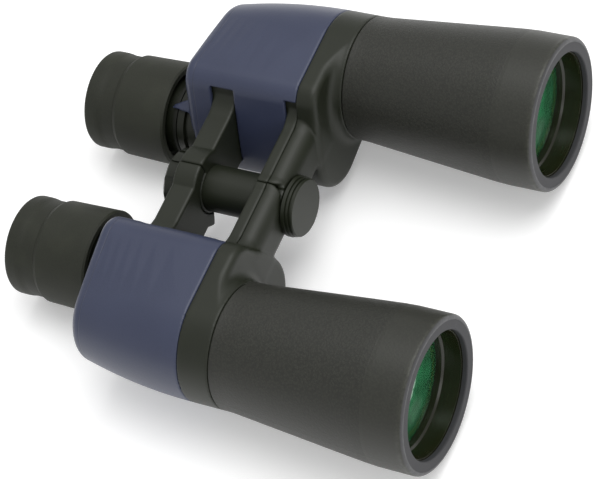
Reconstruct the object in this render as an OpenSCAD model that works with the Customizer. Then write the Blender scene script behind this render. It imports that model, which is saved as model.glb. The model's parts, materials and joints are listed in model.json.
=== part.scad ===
// Individual-focus Porro-prism binoculars, 7 x 50 marine pattern.
// Millimetres. +Z is up, the objectives face -Y and the eyepieces face +Y.
// The left half (of the person looking through) is at +X, the right half at -X.
// The modules are drawn about the centre hinge: x = z = 0 on the hinge axis and
// y = 0 at the objective rims. placed() then puts the origin on the table, under
// the middle of the closed outline.

/* [Objectives] */
// Distance between the two objective axes
objective_spacing = 131.3; // [130:0.1:132]
// Outer radius of the objective tube at its mouth
mouth_r = 31.3; // [31:0.1:31.6]
// Clear radius in front of the objective lens
aperture_r = 25; // [24.8:0.1:25.2]
// Outer radius of the tube's root and of the housing round the objective axis
root_r = 25.7; // [25.6:0.1:25.9]
// Length of the objective tube, from the rim to the seam
tube_l = 85.4; // [85:0.1:86]

/* [Eyepieces] */
// Distance between the two eyepiece axes with the hinge fully open
eye_spacing = 76; // [75.8:0.1:76.2]
// Height of the eyepiece axes below the hinge axis
eye_drop = 12.2; // [12:0.1:12.4]
// Outer radius of the focus ring at its front edge
ring_r = 22; // [21.8:0.1:22.2]
// Outer radius of the rubber eyecup
eyecup_r = 20.3; // [20.2:0.1:20.4]
// Overall length, from the rim to the end of the eyecup
overall_l = 203; // [202:0.5:204]

/* [Prism housings] */
// Radius of the housing's corner round the eyepiece axis
lobe_r = 17.4; // [17.3:0.1:17.6]
// Radius of the housing's upper inner corner
shoulder_r = 10; // [9.8:0.1:10.2]
// Thickness of the blue cover shell
cover_t = 2; // [1.8:0.1:2.1]
// Wall of the castings
wall = 2; // [1.8:0.1:2.1]

/* [Hinge] */
// Radius of the arms' rounded ends at the hinge
knuckle_r = 14; // [13.8:0.1:14.2]
// Radius of the hinge shaft
shaft_r = 5.5; // [5.3:0.1:5.6]
// Radius of the tube between the two arms
hinge_tube_r = 9.7; // [9.4:0.1:9.8]
// Major radius of the tripod thread, 1/4 inch
tripod_thread_r = 3.175; // [3.175:0.001:3.175]
// Radius of the front cap
cap_r = 12.6; // [12.4:0.1:12.8]

/* [Fits] */
// Radial clearance of what turns or slides
run_fit = 0.06; // [0.04:0.01:0.08]
// Gap between pieces that only lie next to each other
gap = 0.1; // [0.08:0.01:0.12]

/* [Hidden] */
SIDES = ["left", "right"];
HALF_PARTS = [
    "objective_tube", "objective_bezel", "objective_cell", "objective_crown_lens",
    "objective_flint_lens", "objective_retaining_ring", "front_cover", "cover_screws",
    "prism_housing", "cover_shell", "prism_shelf", "shelf_screws", "objective_prism",
    "eyepiece_prism", "prism_clips", "eyepiece_neck", "neck_seal", "lens_barrel",
    "field_stop", "field_lens", "lens_spacer", "eye_lens", "eye_retaining_ring",
    "focus_ring", "eyecup"];
CENTRE_PARTS = [
    "hinge_shaft", "hinge_tube", "hinge_washers", "hinge_lock_nut", "hinge_end_cap",
    "front_cap"];

round_fn = 96;
hull_fn = 32;

obj_x = objective_spacing / 2;
eye_x = eye_spacing / 2;
eye_z = -eye_drop;
shoulder_x = eye_x + 3.7;
shoulder_z = root_r - shoulder_r;

// stations along the binoculars, counted from the rims
y_seam = tube_l;
y_plate = y_seam + 5;
y_joint = y_seam + 13.8;
y_strip = y_joint + 5.3;
y_rear_arm = y_joint + 29.3;
y_rear_arm_end = y_rear_arm + 10.5;
y_rear = y_joint + 52.8;
y_ring = overall_l - 39.8;
y_ring_end = overall_l - 14.6;
y_knuckle = y_plate + 2;

eyecup_end_r = eyecup_r + 0.5;
rest_z = eye_drop + ring_r;

// ---------------------------------------------------------------- helpers

module placed() {
    translate([0, -overall_l / 2, rest_z]) children();
}

// the left half as drawn, or its mirror image
module on_side(side) {
    placed() mirror([side == "right" ? 1 : 0, 0, 0]) children();
}

// turns a [radius, y] profile about an axis parallel to Y
module spun(points) {
    rotate([-90, 0, 0]) rotate_extrude($fn = round_fn) polygon(points);
}

module tube_y(r, y0, y1) {
    translate([0, y0, 0]) rotate([-90, 0, 0]) cylinder(r = r, h = y1 - y0, $fn = round_fn);
}

module ring_y(r_out, r_in, y0, y1) {
    difference() {
        tube_y(r_out, y0, y1);
        tube_y(r_in, y0 - 1, y1 + 1);
    }
}

// pushes an outline drawn in x and z along Y
module along_y(y0, y1) {
    translate([0, y1, 0]) rotate([90, 0, 0]) linear_extrude(y1 - y0) children();
}

module at_objective() {
    translate([obj_x, 0, 0]) children();
}

module at_eyepiece() {
    translate([eye_x, 0, eye_z]) children();
}

module at_shoulder() {
    translate([shoulder_x, 0, shoulder_z]) children();
}

// radius of the housing round the objective axis: it bows in towards the rear
housing_bow = 450;
function housing_r(y) = root_r - pow(max(0, y - y_joint), 2) / housing_bow;

// a solid of revolution that narrows like the housing, rounded at its rear
bow_steps = 6;
rear_round = 3.5;
function bow_profile(inset, y0, y1) = concat(
    [[0, y0]],
    [for (i = [0 : bow_steps])
        let (y = y0 + (y1 - rear_round - y0) * i / bow_steps)
        [housing_r(y) - inset, y]],
    [for (a = [30 : 30 : 90])
        [housing_r(y1 - rear_round) - inset - rear_round * (1 - cos(a)),
         y1 - rear_round * (1 - sin(a))]],
    [[0, y1]]);

function post_profile(r, y0, y1) = concat(
    [[0, y0], [r, y0], [r, y1 - rear_round]],
    [for (a = [30 : 30 : 90])
        [r - rear_round * (1 - cos(a)), y1 - rear_round * (1 - sin(a))]],
    [[0, y1]]);

module hull_spun(points) {
    rotate([-90, 0, 0]) rotate_extrude($fn = hull_fn) polygon(points);
}

// the housing's outer form, drawn in by inset and ending at y1
module housing_form(inset, y0, y1) {
    hull() {
        at_objective() hull_spun(bow_profile(inset, y0, y1));
        at_shoulder() hull_spun(post_profile(shoulder_r - inset, y0, y1));
        at_eyepiece() hull_spun(post_profile(lobe_r - inset, y0, y1));
    }
}

// the same outline in the plane, with true arcs; used for what is flat
function belt_angle(a, b) =
    atan2(b[1] - a[1], b[0] - a[0]) - acos((a[2] - b[2]) / norm([b[0] - a[0], b[1] - a[1]]));
function on_circle(c, t) = [c[0] + c[2] * cos(t), c[1] + c[2] * sin(t)];
function corners(inset) = [
    [obj_x, 0, root_r - inset],
    [shoulder_x, shoulder_z, shoulder_r - inset],
    [eye_x, eye_z, lobe_r - inset]];

module housing_outline(inset) {
    c = corners(inset);
    for (i = [0 : 2]) translate([c[i][0], c[i][1]]) circle(r = c[i][2], $fn = round_fn);
    polygon([for (i = [0 : 2]) let (n = c[(i + 1) % 3], t = belt_angle(c[i], n))
        each [on_circle(c[i], t), on_circle(n, t)]]);
}

// ------------------------------------------------------------ hinge arms

arm_top = 13.5;
arm_root_top = 21.3;
arm_fillet = 12;
arm_reach = eye_x + 1;
front_arm_bottom = -8;
rear_arm_bottom = -10.5;
rear_knuckle_r = knuckle_r + 2.6;
seam_half = 0.05;
fold_cut = 58;

fillet_x = arm_reach - arm_fillet - 2;
fillet_z = arm_top + arm_fillet;

// what belongs to the other half: its own side, and the wedge below the hinge
// that it folds into
module other_half() {
    translate([-40, -40]) square([40 + seam_half, 80]);
    polygon([[0, 0], [60 * cos(fold_cut), -60 * sin(fold_cut)], [-1, -60]]);
}

// outline of one half's arm: the rounded end at the hinge, the level stretch and
// the fillet that climbs the housing's inner side
module arm_outline(bottom, r_end) {
    difference() {
        union() {
            circle(r = r_end, $fn = round_fn);
            difference() {
                translate([0, bottom]) square([arm_reach, arm_root_top - bottom]);
                translate([-1, arm_top]) square([fillet_x + 1, 20]);
                translate([fillet_x, fillet_z]) circle(r = arm_fillet, $fn = round_fn);
            }
        }
        other_half();
    }
}

// the front arm has the same outline, but its front edge is rounded over. Points are
// [distance in from the outline, y]
front_round = 6.5;
function over_edge(y0) = [for (a = [90 : -15 : 0])
    [front_round * (1 - cos(a)), y0 + front_round * (1 - sin(a))]];

module front_arm_form(bottom, r_end, y0, y1) {
    edge = over_edge(y0);
    difference() {
        union() {
            spun(concat([[0, y0]], [for (p = edge) [r_end - p[0], p[1]]], [[r_end, y1], [0, y1]]));
            rotate([90, 0, 90]) linear_extrude(fillet_x) polygon(concat(
                [[y0, bottom]], [for (p = edge) [p[1], arm_top - p[0]]], [[y1, arm_top], [y1, bottom]]));
            intersection() {
                translate([fillet_x, 0, fillet_z]) spun(concat(
                    [for (p = edge) [arm_fillet + p[0], p[1]]],
                    [[arm_fillet, y1], [fillet_z - bottom + 20, y1], [fillet_z - bottom + 20, y0]]));
                translate([fillet_x, y0 - 1, bottom])
                    cube([arm_reach - fillet_x, y1 - y0 + 2, arm_root_top - bottom]);
            }
        }
        along_y(y0 - 1, y1 + 1) other_half();
    }
}

knuckle_in_r = 10.6;
knuckle_clear = 0.3;

// where each half's knuckles lie: the left half's in front, the right half's behind
washer_t = 0.4;
function first_half(side) = side == "left";
function split(a, b) = (a + b) / 2;
function knuckle_from(side, a, b) = first_half(side) ? a : split(a, b) + washer_t / 2 + gap / 2;
function knuckle_to(side, a, b) = first_half(side) ? split(a, b) - washer_t / 2 - gap / 2 : b;

// the half's own knuckle between a and b: a full disc joined to its arm
module knuckle(side, bottom, a, b) {
    k0 = knuckle_from(side, a, b);
    k1 = knuckle_to(side, a, b);
    difference() {
        union() {
            tube_y(knuckle_in_r, k0, k1);
            along_y(k0, k1) intersection() {
                arm_outline(bottom, knuckle_r);
                circle(r = knuckle_in_r + 1, $fn = round_fn);
            }
        }
        tube_y(shaft_r + run_fit, a - 1, b + 1);
    }
}

// ------------------------------------------------------------ objective

tube_wall = 2;
cell_r = 28.2;
bezel_r = 29.4;
bezel_t = 2.2;
bezel_round = 0.6;
lens_y = 12.6;
lens_r = 26;
cell_end = lens_y + 12;
spigot_r = 23.4;
spigot_l = 8.5;
mouth_flat = 16;
edge_round = 1.6;

// outer line of the tube: rim, straight mouth band, eased cone, root
function tube_outer() = concat(
    [for (a = [90 : -15 : 0])
        [mouth_r - edge_round * (1 - cos(a)), edge_round * (1 - sin(a))]],
    [[mouth_r, mouth_flat], [mouth_r - 0.25, mouth_flat + 5], [mouth_r - 0.75, mouth_flat + 11],
     [mouth_r - 1.35, mouth_flat + 18], [root_r + 0.15, y_seam - 6], [root_r, y_seam - 3],
     [root_r, y_seam - 0.6], [root_r - 0.5, y_seam]]);

module objective_tube(side) {
    color("#26272a") on_side(side) at_objective() spun(concat(
        tube_outer(),
        [[spigot_r, y_seam], [spigot_r, y_seam + spigot_l], [spigot_r - 1.6, y_seam + spigot_l],
         [spigot_r - 1.6, y_seam - 4], [cell_r - 0.6, cell_end + 12], [cell_r - 0.6, cell_end],
         [cell_r, cell_end], [cell_r, bezel_t + gap], [bezel_r, bezel_t + gap], [bezel_r, 0]]));
}

module objective_bezel(side) {
    bore = aperture_r + 0.4;
    color("#45474b") on_side(side) at_objective() spun(concat(
        [for (a = [0 : 30 : 90]) [bore + bezel_round * (1 - cos(a)),
                                  gap / 2 + bezel_round * (1 - sin(a))]],
        [[bezel_r - gap / 2, gap / 2], [bezel_r - gap / 2, bezel_t], [bore, bezel_t]]));
}

// the cell's smooth mouth takes a cap or filter as far as mouth_l, then narrows a
// little to the lens, which a threaded ring holds from behind
mouth_l = 7.4;
lens_lip = 0.8;
module objective_cell(side) {
    y0 = bezel_t + 2 * gap;
    seat_y = lens_y + 0.55;
    color("#1c1d1f") on_side(side) at_objective() spun([
        [aperture_r, y0], [aperture_r, y0 + mouth_l],
        [aperture_r - lens_lip, y0 + mouth_l + lens_lip], [aperture_r - lens_lip, seat_y],
        [lens_r + gap / 2, seat_y], [lens_r + gap / 2, cell_end - gap],
        [cell_r - gap / 2, cell_end - gap], [cell_r - gap / 2, y0]]);
}

// points of a spherical face of radius r (positive bulges to -Y), rim first or
// centre first, whose centre is at y
lens_steps = 8;
function face(y, r, rim, from_rim) = [for (i = [0 : lens_steps])
    let (q = rim * (from_rim ? lens_steps - i : i) / lens_steps)
    [q, y + sign(r) * (abs(r) - sqrt(r * r - q * q))]];

crown_front = 118;
cement = -96;
flint_rear = -420;
crown_t = 8;
flint_t = 3;

module objective_crown_lens(side) {
    color("#3f9d78", 0.6) on_side(side) at_objective() spun(concat(
        face(lens_y - 2, crown_front, lens_r, false),
        face(lens_y - 2 + crown_t, cement, lens_r, true)));
}

module objective_flint_lens(side) {
    color("#5fb290", 0.6) on_side(side) at_objective() spun(concat(
        face(lens_y - 2 + crown_t, cement, lens_r, false),
        [[lens_r, lens_y + 9]], [[24, lens_y + 9]],
        face(lens_y - 2 + crown_t + flint_t, flint_rear, 24, true)));
}

module objective_retaining_ring(side) {
    color("#1c1d1f") on_side(side) at_objective() difference() {
        ring_y(lens_r, 23.6, lens_y + 9 + gap, cell_end - 2 * gap);
        for (a = [0, 90]) rotate([0, a, 0])
            translate([-30, cell_end - 1.2, -0.8]) cube([60, 2, 1.6]);
    }
}

// ------------------------------------------------------------ front cover

post_r = 2.2;
post_hole_r = 0.9;
cover_post_ring = 19.4;
cover_post_angles = [-60, 0, 60];
ledge_y = y_seam + spigot_l + 0.6;
ledge_t = 1.8;
ledge_in_r = 16.8;
ledge_from = 4;

module at_cover_posts() {
    at_objective() for (a = cover_post_angles) rotate([0, a, 0])
        translate([cover_post_ring, 0, 0]) children();
}

// the front plate: the boss round the tube's root, and the plate with its
// rounded front edge that runs on to the hinge
edge_cut = 3;
module front_plate_form() {
    hull() {
        at_objective() hull_spun([[0, y_plate], [root_r - edge_cut, y_plate],
            [root_r - edge_cut * 0.3, y_plate + edge_cut * 0.3],
            [root_r - gap / 2, y_plate + edge_cut],
            [root_r - gap / 2, y_joint - gap], [0, y_joint - gap]]);
        at_shoulder() hull_spun([[0, y_plate], [shoulder_r - edge_cut, y_plate],
            [shoulder_r - edge_cut * 0.3, y_plate + edge_cut * 0.3],
            [shoulder_r, y_plate + edge_cut], [shoulder_r, y_joint - gap], [0, y_joint - gap]]);
        at_eyepiece() hull_spun([[0, y_plate], [lobe_r - 1, y_plate],
            [lobe_r, y_plate + 1], [lobe_r, y_joint - gap], [0, y_joint - gap]]);
    }
}

module front_cover(side) {
    a = y_knuckle;
    b = y_joint - gap;
    color("#2b2c2a") on_side(side) {
        difference() {
            union() {
                at_objective() spun([[0, y_seam + gap], [root_r - 0.5, y_seam + gap],
                    [root_r, y_seam + 0.7], [root_r, y_joint - gap], [0, y_joint - gap]]);
                front_plate_form();
                difference() {
                    front_arm_form(front_arm_bottom, knuckle_r, y_plate + 1, b);
                    tube_y(knuckle_in_r + knuckle_clear, y_plate, b + 1);
                }
            }
            // room for the prisms, the spigot's thread and the light
            along_y(y_plate + wall, y_joint) housing_outline(cover_t + wall);
            at_objective() tube_y(spigot_r + gap / 2, y_seam, ledge_y);
            at_objective() tube_y(root_r - cover_t - wall - 1.5, ledge_y - 1, y_joint);
        }
        difference() {
            at_objective() ring_y(root_r - cover_t - wall + 0.5, ledge_in_r, ledge_y, ledge_y + ledge_t);
            at_cover_posts() tube_y(post_hole_r + 0.4, ledge_y - 1, ledge_y + ledge_t + 1);
            // open towards the hinge, where the front prism's roof comes
            translate([0, ledge_y - 1, -root_r]) cube([obj_x + ledge_from, ledge_t + 2, 2 * root_r]);
        }
        knuckle(side, front_arm_bottom, a, b);
    }
}

module screw(head_r, head_t, shank_r, shank_l) {
    difference() {
        tube_y(head_r, -head_t, 0);
        translate([-head_r, -head_t - 0.5, -0.25]) cube([2 * head_r, 0.5 + head_t * 0.45, 0.5]);
    }
    tube_y(shank_r, -0.1, shank_l);
}

module cover_screws(side) {
    color("#8d8f92") on_side(side) at_cover_posts()
        translate([0, ledge_y - gap, 0]) screw(1.9, 1.1, 0.85, 8);
}

// ------------------------------------------------------------ prism housing

shelf_y = y_joint + 16.3;
shelf_t = 3;
shelf_post_r = 3.2;
// direction and distance of each shelf post from the objective axis
shelf_posts = [[-30, 18], [115, 22], [-80, 18]];
shelf_post_l = 12;
casting_end = y_rear - cover_t - gap;
neck_hole_r = 14.5;

module at_shelf_posts() {
    at_objective() for (p = shelf_posts) rotate([0, p[0], 0])
        translate([p[1], 0, 0]) children();
}

module prism_housing(side) {
    inset = cover_t + gap;
    color("#232422") on_side(side) {
        difference() {
            union() {
                housing_form(inset, y_joint, casting_end);
                difference() {
                    union() {
                        along_y(y_joint, y_strip) arm_outline(front_arm_bottom, knuckle_r);
                        along_y(y_rear_arm, y_rear_arm_end)
                            arm_outline(rear_arm_bottom, rear_knuckle_r);
                    }
                    tube_y(knuckle_in_r + knuckle_clear, y_joint - 1, y_rear_arm_end + 1);
                }
            }
            housing_form(inset + wall, y_joint - 2, casting_end - wall);
            at_eyepiece() tube_y(neck_hole_r, casting_end - 8, casting_end + 1);
        }
        difference() {
            union() {
                at_shelf_posts()
                    tube_y(shelf_post_r, shelf_y + shelf_t + gap, shelf_y + shelf_t + shelf_post_l);
                at_cover_posts() tube_y(post_r, ledge_y + ledge_t + gap, shelf_y - 2);
            }
            at_shelf_posts() tube_y(post_hole_r, shelf_y, shelf_y + shelf_t + 8);
            at_cover_posts() tube_y(post_hole_r, ledge_y, ledge_y + ledge_t + 8);
            difference() {
                along_y(y_joint - 10, y_joint + 60) circle(r = 200);
                housing_form(inset + wall / 2, ledge_y, casting_end - wall);
            }
        }
        knuckle(side, front_arm_bottom, y_joint, y_strip);
        knuckle(side, rear_arm_bottom, y_rear_arm, y_rear_arm_end);
    }
}

// the cover shell slips over the casting from the rear, with notches for the arms
// and a pointer beside the eyepiece
notch_to = eye_x - 2;
module arm_notch(a, b, bottom) {
    translate([0, a, bottom - gap]) cube([notch_to, b - a + gap, arm_root_top - bottom + 2 * gap]);
}

// the pointer is a fin with a long upper slope and a short lower one
pointer_angle = 114;
pointer_l = 11.5;
pointer_base = [[-7.5, -0.5], [1.4, -0.5], [1, 2.4], [-6, 2.4]];
module cover_shell(side) {
    color("#474c63") on_side(side) {
        difference() {
            housing_form(0, y_joint + gap, y_rear);
            housing_form(cover_t, y_joint - 1, y_rear - cover_t);
            arm_notch(y_joint - 1, y_strip, front_arm_bottom);
            arm_notch(y_rear_arm - gap, y_rear_arm_end, rear_arm_bottom);
            at_eyepiece() tube_y(lobe_r + 0.3, y_rear - cover_t - gap / 2, y_rear + 1);
            at_eyepiece() tube_y(neck_hole_r + gap, casting_end - 8, y_rear);
        }
        at_eyepiece() rotate([0, -pointer_angle, 0]) translate([lobe_r + 0.5, y_rear - cover_t, 0])
            rotate([0, -90, -90]) linear_extrude(pointer_l, scale = 0.15) polygon(pointer_base);
    }
}

// ------------------------------------------------------------ prisms

// the light is shifted twice, by equal steps at right angles to each other
shift = norm([obj_x - eye_x, eye_z]);
shift_angle = atan2(eye_z, eye_x - obj_x);
step_l = shift / sqrt(2);
mid_x = obj_x + step_l * cos(shift_angle - 45);
mid_z = step_l * sin(shift_angle - 45);
prism_half = 20;
prism_w = step_l;
prism_flat = 1.2;

// places children on a prism's middle, with X along the prism's long side
module at_prism(x0, z0, x1, z1) {
    translate([(x0 + x1) / 2, 0, (z0 + z1) / 2]) rotate([0, -atan2(z1 - z0, x1 - x0), 0]) children();
}

module at_rear_prism() {
    at_prism(obj_x, 0, mid_x, mid_z) translate([0, shelf_y + shelf_t + gap, 0]) children();
}

module at_front_prism() {
    at_prism(mid_x, mid_z, eye_x, eye_z) translate([0, shelf_y - gap, 0]) mirror([0, 1, 0]) children();
}

// roof outline of a prism, drawn out by grow, standing on y = 0
module roof(grow) {
    h = step_l + grow * 1.42;
    l = prism_half + grow;
    f = prism_flat;
    polygon([[-l, 0], [-l, h - l], [-f, h - f], [f, h - f], [l, h - l], [l, 0]]);
}

module prism() {
    intersection() {
        translate([0, 0, -prism_w / 2]) linear_extrude(prism_w) roof(0);
        rotate([-90, 0, 0]) cylinder(r = prism_half, h = 60, center = true, $fn = round_fn);
    }
}

module objective_prism(side) {
    color("#b9d4dc", 0.5) on_side(side) at_rear_prism() prism();
}

module eyepiece_prism(side) {
    color("#b9d4dc", 0.5) on_side(side) at_front_prism() prism();
}

clip_w = 6;
module clip() {
    translate([0, 0, -clip_w / 2]) linear_extrude(clip_w) difference() {
        roof(0.7);
        roof(0.15);
        translate([-40, -10]) square([80, 10]);
    }
}

module prism_clips(side) {
    color("#9a9c9e") on_side(side) {
        at_rear_prism() clip();
        at_front_prism() clip();
    }
}

light_hole_r = 9.6;
module prism_shelf(side) {
    color("#303133") on_side(side) difference() {
        along_y(shelf_y, shelf_y + shelf_t) hull()
            for (c = corners(cover_t + wall + 1.2))
                translate([c[0], c[1]]) circle(r = c[2], $fn = hull_fn);
        at_objective() tube_y(light_hole_r, shelf_y - 1, shelf_y + shelf_t + 1);
        at_eyepiece() tube_y(light_hole_r, shelf_y - 1, shelf_y + shelf_t + 1);
        translate([mid_x, 0, mid_z]) tube_y(light_hole_r, shelf_y - 1, shelf_y + shelf_t + 1);
        at_cover_posts() tube_y(post_r + 0.5, shelf_y - 1, shelf_y + shelf_t + 1);
        at_shelf_posts() tube_y(1.1, shelf_y - 1, shelf_y + shelf_t + 1);
    }
}

module shelf_screws(side) {
    color("#8d8f92") on_side(side) at_shelf_posts()
        translate([0, shelf_y - gap, 0]) screw(2, 1.2, 0.85, shelf_t + 7);
}

// ------------------------------------------------------------ eyepiece

neck_r = 16.2;
neck_bore = 13.5;
neck_end = y_ring + 10.8;
flange_r = lobe_r - 0.2;
barrel_r = neck_bore - run_fit;
web_y = y_ring + 15.6;
web_t = 2.2;
head_y = web_y + web_t + gap;
head_r = 17.2;
head_end = overall_l - 11.5;
glass_r = 12.5;

module eyepiece_neck(side) {
    color("#1e1f20") on_side(side) at_eyepiece() spun([
        [neck_bore, casting_end - 4], [neck_hole_r - gap / 2, casting_end - 4],
        [neck_hole_r - gap / 2, casting_end + gap], [flange_r, casting_end + gap],
        [flange_r, y_rear + 1.6], [neck_r - 0.6, y_rear + 2], [neck_r - 0.6, y_rear + 3.4],
        [flange_r - 0.2, y_rear + 3.8], [flange_r - 0.2, y_rear + 6.8], [neck_r, y_rear + 7.2],
        [neck_r, neck_end], [neck_bore, neck_end]]);
}

// rubber ring in the notch behind the flange, it wipes the focus ring's mouth
module neck_seal(side) {
    color("#141414") on_side(side) at_eyepiece() spun([
        [neck_r + gap / 2, y_rear + 7.4], [flange_r - 0.3, y_rear + 7.4],
        [flange_r - 0.3, y_rear + 8.8], [neck_r + gap / 2, y_rear + 8.8]]);
}

module lens_barrel(side) {
    color("#1a1b1c") on_side(side) at_eyepiece() spun([
        [11.6, casting_end - 2.6], [barrel_r, casting_end - 2.6], [barrel_r, head_y],
        [head_r + 1.2, head_y], [head_r + 1.2, head_y + 1.4], [head_r, head_y + 1.4],
        [head_r, head_end - 0.8], [head_r - 0.8, head_end], [glass_r + 0.6, head_end],
        [glass_r + gap / 2, head_end - 0.6], [glass_r + gap / 2, head_end - 8.5],
        [11.4, head_end - 8.5], [11.4, y_rear + 9], [glass_r - 0.75, y_rear + 9],
        [glass_r - 0.75, casting_end - 0.2], [11.6, casting_end - 0.2]]);
}

field_r = glass_r - 0.8;
module field_stop(side) {
    color("#111111") on_side(side) at_eyepiece()
        spun([[9.4, y_rear + 1], [9, y_rear + 1.3], [9, y_rear + 1.5], [9.4, y_rear + 1.8],
              [field_r, y_rear + 1.8], [field_r, y_rear + 1]]);
}

module field_lens(side) {
    color("#a8c8bd", 0.6) on_side(side) at_eyepiece() spun(concat(
        face(y_rear + 3.4, 46, field_r, false), face(y_rear + 8.8, -60, field_r, true)));
}

module lens_spacer(side) {
    color("#161616") on_side(side) at_eyepiece()
        ring_y(11.3, 10.4, y_rear + 11, head_end - 8.8);
}

eye_glass_y = head_end - 8.2;
module eye_lens(side) {
    color("#c9a15e", 0.6) on_side(side) at_eyepiece() spun(concat(
        face(eye_glass_y, 200, glass_r, false), face(eye_glass_y + 6.6, -34, glass_r, true)));
}

module eye_retaining_ring(side) {
    color("#161616") on_side(side) at_eyepiece() spun([
        [glass_r, head_end - 3.2], [glass_r, head_end - 1], [11.4, head_end - 1],
        [10.6, head_end - 2], [10.6, head_end - 2.4], [11.9, head_end - 3.2]]);
}

recess_r = 18.6;
cup_base_r = 19;
module focus_ring(side) {
    color("#2a2b2c") on_side(side) at_eyepiece() spun([
        [recess_r, y_ring + 0.6], [recess_r + 0.6, y_ring], [ring_r - 0.6, y_ring],
        [ring_r, y_ring + 0.8], [ring_r - 0.5, y_ring_end - 1.6],
        [eyecup_r + 0.05, y_ring_end + 0.4], [cup_base_r + gap / 2, y_ring_end + 0.4],
        [cup_base_r + gap / 2, web_y + web_t], [barrel_r + 0.3, web_y + web_t],
        [barrel_r + 0.3, web_y], [neck_r + 0.3, web_y], [neck_r + 0.3, y_ring + 5.2],
        [recess_r, y_ring + 5.2]]);
}

cup_in_r = head_r + 0.3;
cup_straight = 5;
cup_band = 3.6;
cup_lip = 1.7;
module eyecup(side) {
    y0 = y_ring_end + 0.4 + gap;
    y1 = overall_l - cup_lip;
    color("#1f2021") on_side(side) at_eyepiece() spun(concat(
        [[cup_in_r, head_y + 2], [cup_base_r, head_y + 2], [cup_base_r, y0], [eyecup_r, y0]],
        // it swells to a straight band and a softly rounded lip
        [for (i = [0 : 3]) let (s = i / 3, swell = s * s * (3 - 2 * s))
            [eyecup_r + (eyecup_end_r - eyecup_r) * swell,
             y0 + cup_straight + (y1 - cup_band - y0 - cup_straight) * s]],
        [for (a = [0 : 22.5 : 157.5])
            [eyecup_end_r - cup_lip * (1 - cos(a)), y1 + cup_lip * sin(a)]],
        [[eyecup_end_r - 2 * cup_lip, y1], [cup_in_r, overall_l - 6]]));
}

// ------------------------------------------------------------ hinge

shaft_front = y_knuckle + 0.4;
shaft_end = y_rear_arm_end + 4.5;
stub_r = 4.4;
plug_r = 4.2;
counterbore_l = 2.6;
socket_l = 10;
nut_r = 13.6;
nut_end = y_rear_arm_end + 6;

module hinge_shaft() {
    color("#77797c") placed() difference() {
        union() {
            tube_y(shaft_r, shaft_front, y_rear_arm_end + gap);
            tube_y(stub_r, y_rear_arm_end, shaft_end);
        }
        tube_y(plug_r + run_fit, shaft_front - 1, shaft_front + counterbore_l);
        tube_y(tripod_thread_r, shaft_front, shaft_front + counterbore_l + socket_l);
        tube_y(tripod_thread_r + 0.3, shaft_front + counterbore_l + socket_l - 0.01,
               shaft_front + counterbore_l + socket_l + 1);
    }
}

module hinge_tube() {
    color("#2a2b2a") placed() ring_y(hinge_tube_r, shaft_r + gap, y_strip + gap, y_rear_arm - gap);
}

module washer_at(y) {
    ring_y(knuckle_in_r - 0.6, shaft_r + gap, y - washer_t / 2, y + washer_t / 2);
}

module hinge_washers() {
    color("#b08d57") placed() {
        washer_at(split(y_knuckle, y_joint - gap));
        washer_at(split(y_joint, y_strip));
        washer_at(split(y_rear_arm, y_rear_arm_end));
    }
}

notch_count = 12;
module hinge_lock_nut() {
    y0 = y_rear_arm_end + gap;
    color("#1d1e1f") placed() difference() {
        spun([[0, y0], [nut_r - 0.5, y0], [nut_r, y0 + 0.5], [nut_r, nut_end - 1], [nut_r - 1, nut_end],
              [0, nut_end]]);
        tube_y(stub_r, y0 - 1, nut_end + 1);
        tube_y(9, nut_end - 1.4, nut_end + 1);
        tube_y(shaft_r + gap, y0 - 1, y0 + 0.3);
        for (i = [0 : notch_count - 1]) rotate([0, i * 360 / notch_count, 0])
            translate([nut_r - 0.8, y0 + 1.4, -1]) cube([2, nut_end - y0, 2]);
    }
}

module hinge_end_cap() {
    color("#2a2b2c") placed() spun([[0, nut_end - 1.3 + gap], [8.9, nut_end - 1.3 + gap],
        [8.9, nut_end - 0.3], [8.4, nut_end + 0.2], [0, nut_end + 0.2]]);
}

cap_t = 5;
groove = 0.45;
module front_cap() {
    y1 = y_plate + 0.7;
    y0 = y1 - cap_t;
    color("#303133") placed() union() {
        spun([[0, y0], [cap_r - 1.1, y0], [cap_r - 0.7, y0 + 0.4], [cap_r - 0.7, y0 + 1.1],
              [cap_r - 0.7 - groove, y0 + 1.3], [cap_r - 0.7 - groove, y0 + 1.6],
              [cap_r - 0.35, y0 + 1.8], [cap_r - 0.35, y0 + 2.6],
              [cap_r - 0.35 - groove, y0 + 2.8], [cap_r - 0.35 - groove, y0 + 3.1],
              [cap_r, y0 + 3.3], [cap_r, y1 - 0.3],
              [cap_r - 0.5, y1], [9, y1], [9, y1 + 1], [0, y1 + 1]]);
        tube_y(plug_r, y1, shaft_front + counterbore_l - 0.3);
    }
}

// ------------------------------------------------------------ every node

for (side = SIDES) {
    objective_tube(side);
    objective_bezel(side);
    objective_cell(side);
    objective_crown_lens(side);
    objective_flint_lens(side);
    objective_retaining_ring(side);
    front_cover(side);
    cover_screws(side);
    prism_housing(side);
    cover_shell(side);
    prism_shelf(side);
    shelf_screws(side);
    objective_prism(side);
    eyepiece_prism(side);
    prism_clips(side);
    eyepiece_neck(side);
    neck_seal(side);
    lens_barrel(side);
    field_stop(side);
    field_lens(side);
    lens_spacer(side);
    eye_lens(side);
    eye_retaining_ring(side);
    focus_ring(side);
    eyecup(side);
}
hinge_shaft();
hinge_tube();
hinge_washers();
hinge_lock_nut();
hinge_end_cap();
front_cap();
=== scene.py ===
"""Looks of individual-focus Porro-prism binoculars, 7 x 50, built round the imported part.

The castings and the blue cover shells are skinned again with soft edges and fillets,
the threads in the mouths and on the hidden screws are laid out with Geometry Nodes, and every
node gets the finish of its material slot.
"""

import json
import math

import bpy
import numpy as np
from mathutils import Matrix, Vector

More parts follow.
